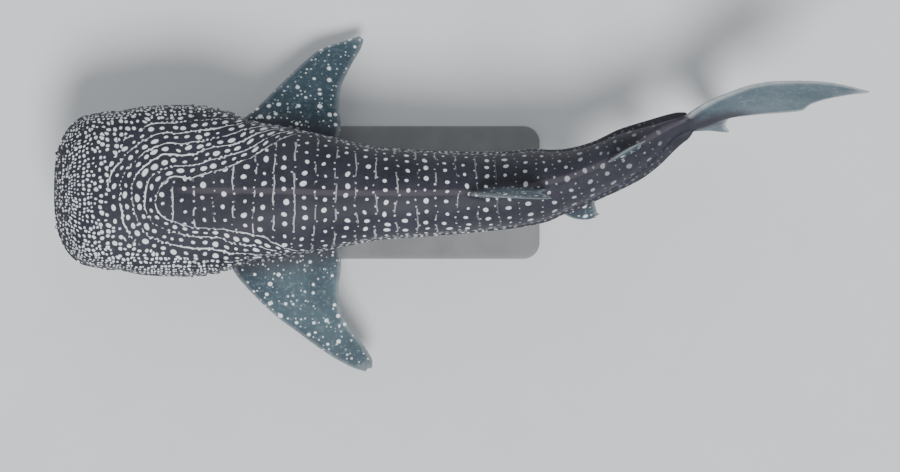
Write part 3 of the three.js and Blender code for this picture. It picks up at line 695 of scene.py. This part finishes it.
# bars and columns of dots across the trunk, the bars dying away toward the tail
COLUMN_PITCH = 0.134
column_dots = dots_in_rows(distance, across_back, COLUMN_PITCH, dot_pitch=0.080, radius=0.0158, seed=5.0)
column_lines = lines_between_rows(distance, across_back, COLUMN_PITCH, 0.0044, place, length=0.11, gap=0.49)
column_lines = column_lines * (0.75 - distance.between(1.2, 1.8) * 0.35 - distance.between(2.4, 3.2) * 0.4)
column_small = dots_in_rows(distance + COLUMN_PITCH / 2, across_back, COLUMN_PITCH, dot_pitch=0.052,
                            radius=0.0068, seed=8.0) * (1 - column_lines)
column_marks = (column_dots.math("MAXIMUM", column_lines)).math("MAXIMUM", column_small * 0.7)
in_bars = 1 - bow_row.between(-0.012, 0.0)
marks = blend(in_bars, bow_marks, column_marks)

# round dots before the bows and beside them: small and dense on the snout and low on the sides,
# larger on the brow; the way over the snout is longer than the way along the backbone by 105 mm
OVER_THE_NOSE = 0.105
TIP_END = 0.25
FORE_END = 0.41
SIDES_BEGIN = 0.40
BOWS_REACH = 0.47
bend = noise(place, 9, 1) * 0.05
spread = vector(stored(start, "over_snout") + bend, flow.part(1) - bend)


def border(over, sideways):
    """Ragged way of counting how far a place lies behind the borders of the kinds of dots, and
    within those on the sides, where the dots grow small again."""
    outward = (sideways.math("ABSOLUTE") - SIDES_BEGIN).math("MAXIMUM", 0)
    return over.math("MINIMUM", 0.60) - outward * 2.0 + (noise(vector(over, sideways), 9, 1) - 0.5) * 0.22


def before_bows(over, sideways):
    """1 where a place is farther from the bows' centre than the outermost of them, whose distance
    from the middle line grows toward the tail as the bars grow wider."""
    back = BOW_CENTRE / 1000 + OVER_THE_NOSE - over
    ahead = back.math("MAXIMUM", 0)
    away = (ahead * ahead + sideways * sideways).math("SQRT")
    wider = (0 - back).math("MAXIMUM", 0) * 0.30 + (-0.45 - back).math("MAXIMUM", 0) * 0.7
    rough_edge = (noise(vector(over, sideways), 7, 1) - 0.5) * 0.16
    return (away + rough_edge - wider - BOWS_REACH).between(0, 0.004)


def on_snout_tip(over, sideways):
    """1 before the first border."""
    return 1 - border(over, sideways).between(TIP_END, TIP_END + 0.002)


def on_fore_brow(over, sideways):
    """1 between the first and the second border, where no bow lies."""
    behind = border(over, sideways)
    past_tip = behind.between(TIP_END, TIP_END + 0.002)
    return past_tip * (1 - behind.between(FORE_END, FORE_END + 0.002)) * before_bows(over, sideways)


def on_brow(over, sideways):
    """1 behind the second border, where no bow lies."""
    return border(over, sideways).between(FORE_END, FORE_END + 0.002) * before_bows(over, sideways)


tip_dots = scattered_dots(spread, pitch=0.0255, radius=0.0080, keep=1.0, seed=0.3, flat=True,
                          ground=on_snout_tip, randomness=0.48)
fore_dots = scattered_dots(spread, pitch=0.0320, radius=0.0102, keep=1.0, seed=4.0, flat=True,
                           ground=on_fore_brow, randomness=0.52)
brow_dots = scattered_dots(spread, pitch=0.0420, radius=0.0130, keep=1.0, seed=2.0, flat=True,
                           ground=on_brow, randomness=0.58)
head_dots = (tip_dots.math("MAXIMUM", fore_dots)).math("MAXIMUM", brow_dots)
marks = blend(before_bows(spread.part(0), spread.part(1)), marks, head_dots)

# dots on the steep front of the snout, on the low sides of the body and on the fins
face_dots = scattered_dots(place, pitch=0.0235, radius=0.0094, keep=1.0, seed=0.7, randomness=0.7)
on_face = (0 - facing.part(0) + (noise(place, 30, 1) - 0.5) * 0.2).between(0.62, 0.63)
marks = blend(on_face, marks, face_dots)
along_side = vector(flow.part(0) + bend, flow.part(1) - bend)
flank_dots = scattered_dots(along_side, pitch=0.044, radius=0.0106, keep=0.9, seed=6.0, flat=True,
                            randomness=0.6)
flank_dots = flank_dots * (1 - distance.between(2.6, 3.5) * 0.6)
low_side = (1 - up.between(0.12, 0.26)) * (1 - on_face)
marks = blend(low_side, marks, flank_dots)
marks = marks * (1 - distance.between(2.5, 3.9) * 0.75) * (1 - distance.between(4.0, 4.2))
fin_big = scattered_dots(place, pitch=0.066, radius=0.0150, keep=0.75, seed=11.0)
fin_small = scattered_dots(place, pitch=0.030, radius=0.0072, keep=0.6, seed=13.0)
fin_dots = fin_big.math("MAXIMUM", fin_small * 0.7) * (1 - distance.between(3.9, 4.3))
marks = blend(fin, marks, fin_dots)

# colours of the ground, each the darkest and the lightest, then of what lies on it, last the painted shade
# in slits, grooves and sockets
BACK_COLOURS = (0.015, 0.015, 0.026, 1), (0.029, 0.028, 0.043, 1)
FIN_COLOURS = (0.022, 0.047, 0.066, 1), (0.052, 0.092, 0.115, 1)
TAIL_COLOURS = (0.060, 0.095, 0.120, 1), (0.105, 0.145, 0.170, 1)
SPOT_COLOURS = (0.74, 0.79, 0.82, 1), (0.91, 0.93, 0.94, 1)
HAZE_COLOUR = (0.075, 0.082, 0.102, 1)
MOTTLE_COLOUR = (0.24, 0.33, 0.36, 1)
RIDGE_COLOUR = (0.10, 0.085, 0.105, 1)
BELLY_COLOUR = (0.46, 0.49, 0.50, 1)
RIM_COLOUR = (0.42, 0.45, 0.46, 1)
HOLLOW_SHADE_COLOUR = (0.010, 0.010, 0.016, 1)
cloud = noise(place, 4, 5, 0.6).between(0.3, 0.7)
fine_cloud = noise(place, 60, 4, 0.65)
fin_colour = mix(distance.between(3.9, 4.3), mix(cloud, *FIN_COLOURS), mix(cloud, *TAIL_COLOURS))
base = mix(far_fin, mix(cloud, *BACK_COLOURS), fin_colour)
base = mix(fine_cloud.between(0.4, 0.8) * 0.3, base, HAZE_COLOUR)
mottling = noise(place, 38, 4, 0.7).between(0.52, 0.66) * far_fin * 0.3
base = mix(mottling, base, MOTTLE_COLOUR)
ridge_tint = (1 - flow.part(1).math("ABSOLUTE").between(0.010, 0.028)) * distance.between(0.75, 1.0)
base = mix(ridge_tint * 0.5 * (1 - fin), base, RIDGE_COLOUR)
ragged_edge = (noise(place, 9, 3) - 0.5) * 0.22
belly = 1 - (up + ragged_edge).between(-0.58, -0.36)
under_fin = 1 - (facing.part(2) + ragged_edge).between(-0.75, -0.35)
base = mix(blend(fin, belly, under_fin), base, BELLY_COLOUR)
base = mix(stored(start, "rim") * (noise(place, 16, 3) * 0.8 + 0.4) * fin, base, RIM_COLOUR)
spot_colour = mix(noise(place, 25, 2).between(0.3, 0.7), *SPOT_COLOURS)
colour = mix(marks * 0.96, base, spot_colour)
# painted shade: the deeper a point lies in a gill slit, the mouth groove, an eye socket, a spiracle or a
# nostril pit, the darker it is painted
colour = mix(stored(start, "hollow_shade") * 0.85, colour, HOLLOW_SHADE_COLOUR)

grain = noise(place, 900, 2, 0.7) * 0.5 + noise(place, 160, 3, 0.6) * 0.5
relief_height = grain + marks * 0.12 + fine_cloud * 0.4
bumps = start.node("ShaderNodeBump", None, {"Strength": 0.28, "Distance": 0.002, "Height": relief_height})
finish_material(start, {"Base Color": colour, "Roughness": 0.50 + fine_cloud * 0.2 + marks * 0.06,
                        "Normal": bumps, "Specular IOR Level": 0.33})
skin.data.materials.clear()
skin.data.materials.append(skin_material)
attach(skin, "root")
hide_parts("head", "gill_region", "trunk", "tail_stock", "caudal_fin_upper", "caudal_fin_lower",
            "pectoral_fin_left", "pectoral_fin_right", "pelvic_fin_left", "pelvic_fin_right",
            "first_dorsal_fin", "second_dorsal_fin", "anal_fin")

# Eyes: small dark balls with a clear cover, a wide pupil and a dull flecked ring round it.
# Each sits in its socket and looks straight out of the side of the head.
EYE_RADIUS = 27
EYE_DEPTH = 12


def eye_ball(name, angle):
    """Sphere by polar angle from the line of sight and angle round it, with both as its map."""
    spot = np.array(float(EYE_PLACE[0]))
    lean = np.array(float(angle))
    sight = body_outward(spot, lean)
    centre = body_point(spot, lean) - sight * EYE_DEPTH
    side = np.cross(sight, [0, 0, 1.0])
    side /= np.linalg.norm(side)
    top = np.cross(side, sight)
    polar, round_it = np.meshgrid(np.linspace(0.04, np.pi - 0.04, 40),
                                  np.linspace(0, 2 * np.pi, 64, endpoint=False), indexing="ij")
    ring = (np.cos(polar)[..., None] * sight + np.sin(polar)[..., None]
            * (np.cos(round_it)[..., None] * side + np.sin(round_it)[..., None] * top))
    points, faces = closed_grid(centre + EYE_RADIUS * ring, centre + EYE_RADIUS * sight,
                                centre - EYE_RADIUS * sight)
    ball = new_piece(name, points, faces)
    polar_all = np.concatenate([polar.ravel(), [0, np.pi]])
    round_all = np.concatenate([round_it.ravel(), [0, 0]])
    store(ball, "sight", polar_all, np.cos(round_all), np.sin(round_all))
    return ball


eye_material, start = blank_material("eye")
sight = stored(start, "sight", "Vector")
flecks = noise(sight, 9, 4, 0.7)
iris = mix(flecks.between(0.35, 0.7), (0.035, 0.032, 0.030, 1), (0.20, 0.19, 0.17, 1))
outer_ring = sight.part(0).between(0.68, 0.78)
pupil = 1 - sight.part(0).between(0.33, 0.37)
eye_colour = mix(pupil, mix(outer_ring, iris, (0.02, 0.02, 0.028, 1)), (0.003, 0.003, 0.005, 1))
finish_material(start, {"Base Color": eye_colour, "Roughness": flecks * 0.1 + 0.08,
                        "Coat Weight": 1.0, "Coat Roughness": 0.03})
for name, angle in (("eye_right", EYE_PLACE[1]), ("eye_left", 180 - EYE_PLACE[1])):
    ball = eye_ball(name + "_ball", angle)
    ball.data.materials.append(eye_material)
    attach(ball, "root")
    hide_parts(name)

# Stand: a low painted slab with two brushed steel rods, each rising from a collar into the belly.
# The slab is one plate with rounded corners and edges; rods and collars are turned.
SLAB = {"length": 2500, "width": 900, "thick": 60, "corner": 110, "edge": 8}
RODS = {"stand_rod_front": (1440, -8), "stand_rod_rear": (2760, -14)}


def slab_surface():
    """Rounded rectangle by angle, carried down a profile of inset and height, closed flat."""
    turn = np.linspace(0, 2 * np.pi, 128, endpoint=False) + np.pi / 128
    quarter = np.floor(turn / (np.pi / 2))
    sign_x = np.where((quarter == 0) | (quarter == 3), 1, -1)
    sign_y = np.where(quarter < 2, 1, -1)
    bend = np.linspace(0, np.pi / 2, 7)
    far = SLAB["edge"] * (1 - np.sin(bend))
    near = SLAB["edge"] * (1 - np.cos(bend))
    inset = np.concatenate([[40], far, near, [40]])
    level = np.concatenate([[SLAB["thick"]], SLAB["thick"] - near, far, [0]])
    radius = SLAB["corner"] - inset[:, None]
    x = sign_x * (SLAB["length"] / 2 - SLAB["corner"]) + radius * np.cos(turn)
    y = sign_y * (SLAB["width"] / 2 - SLAB["corner"]) + radius * np.sin(turn)
    z = np.broadcast_to(level[:, None], x.shape)
    middle = np.array([*SLAB_MIDDLE, 0.0])
    rings = np.stack([x, y, z], axis=-1) + middle
    return closed_grid(rings, middle + [0, 0, SLAB["thick"]], middle)


def turned_rod(middle):
    """Round rod with a collar at its foot: a profile of radius and height above the slab, turned
    about the rod's axis, whose top ends 10 mm inside the belly."""
    top = body_point(np.array(float(middle[0])), np.array(-90.0))[2] + 10 - SLAB["thick"]
    profile = np.array([[80, 0.3], [85, 1], [85, 18], [84, 21], [81, 22.3], [50, 22.3], [46.5, 23.5],
                        [45, 26], [45, 60], [45, 140], [45, 240], [45, top]])
    turn = np.linspace(0, 2 * np.pi, 72, endpoint=False)
    level = np.broadcast_to(profile[:, 1:] + SLAB["thick"], (len(profile), len(turn)))
    rings = np.stack([middle[0] + profile[:, :1] * np.cos(turn),
                      middle[1] + profile[:, :1] * np.sin(turn), level], axis=-1)
    return closed_grid(rings, np.array([*middle, level[0, 0]]), np.array([*middle, level[-1, 0]]))


paint, start = blank_material("satin_grey_paint")
place = start.node("ShaderNodeTexCoord", None, None, "Object")
peel = noise(place, 220, 2)
dust = noise(place, 3, 5, 0.65)
paint_colour = mix(dust.between(0.3, 0.75), (0.19, 0.195, 0.20, 1), (0.235, 0.24, 0.245, 1))
paint_bump = start.node("ShaderNodeBump", None, {"Strength": 0.12, "Distance": 0.001, "Height": peel})
finish_material(start, {"Base Color": paint_colour, "Roughness": dust * 0.2 + 0.38, "Normal": paint_bump})
slab = new_piece("stand_slab", *slab_surface())
slab.data.materials.append(paint)
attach(slab, "root")
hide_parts("stand_base")

steel, start = blank_material("brushed_steel")
place = start.node("ShaderNodeTexCoord", None, None, "Object")
stretched = place.node("ShaderNodeVectorMath", {"operation": "MULTIPLY"}, {0: place, 1: (600, 600, 12)})
brush = noise(stretched, 1, 3)
steel_colour = mix(brush, (0.42, 0.43, 0.44, 1), (0.60, 0.61, 0.62, 1))
steel_bump = start.node("ShaderNodeBump", None, {"Strength": 0.1, "Distance": 0.0006, "Height": brush})
finish_material(start, {"Base Color": steel_colour, "Metallic": 1.0, "Roughness": brush * 0.15 + 0.24,
                        "Normal": steel_bump})
for name, middle in RODS.items():
    rod = new_piece(name + "_turned", *turned_rod(middle))
    rod.data.materials.append(steel)
    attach(rod, "root")
    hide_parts(name)

# Studio: a pale floor, one broad lamp high on the animal's left, a weak wider one on its right, a
# weak sky, and the camera straight above, as in the photograph.
FLOOR_REACH = 400
floor_corners = [(-FLOOR_REACH, -FLOOR_REACH, 0), (FLOOR_REACH, -FLOOR_REACH, 0),
                 (FLOOR_REACH, FLOOR_REACH, 0), (-FLOOR_REACH, FLOOR_REACH, 0)]
floor_mesh = bpy.data.meshes.new("floor")
floor_mesh.from_pydata(floor_corners, [], [(0, 1, 2, 3)])
floor = bpy.data.objects.new("floor", floor_mesh)
bpy.context.scene.collection.objects.link(floor)
floor_material, start = blank_material("pale_floor")
place = start.node("ShaderNodeTexCoord", None, None, "Object")
floor_colour = mix(noise(place, 2, 4), (0.70, 0.71, 0.72, 1), (0.74, 0.75, 0.76, 1))
finish_material(start, {"Base Color": floor_colour, "Roughness": 0.8})
floor_mesh.materials.append(floor_material)


def lamp(name, bearing, height, softness, power):
    """Far soft lamp: its bearing is turned from the animal's left, and its height is above the floor,
    both in degrees, as is the width that makes it soft."""
    light = bpy.data.lights.new(name, "SUN")
    light.angle = np.radians(softness)
    light.energy = power
    thing = bpy.data.objects.new(name, light)
    thing.rotation_euler = (np.radians(90 - height), 0, np.radians(bearing))
    bpy.context.scene.collection.objects.link(thing)


lamp("key", bearing=8, height=57, softness=26, power=3.2)
lamp("fill", bearing=190, height=50, softness=60, power=0.5)
world = bpy.data.worlds.new("studio")
world.use_nodes = True
world.node_tree.nodes["Background"].inputs["Color"].default_value = (0.80, 0.84, 0.88, 1)
world.node_tree.nodes["Background"].inputs["Strength"].default_value = 0.5
bpy.context.scene.world = world

# The camera stands far off with a long lens, so that heights hardly shift what lies under it
camera_data = bpy.data.cameras.new("camera")
camera_data.sensor_width = 36
camera_data.lens = 236
camera = bpy.data.objects.new("camera", camera_data)
camera.location = (-0.044, -0.219, 40.0)
bpy.context.scene.collection.objects.link(camera)
bpy.context.scene.camera = camera
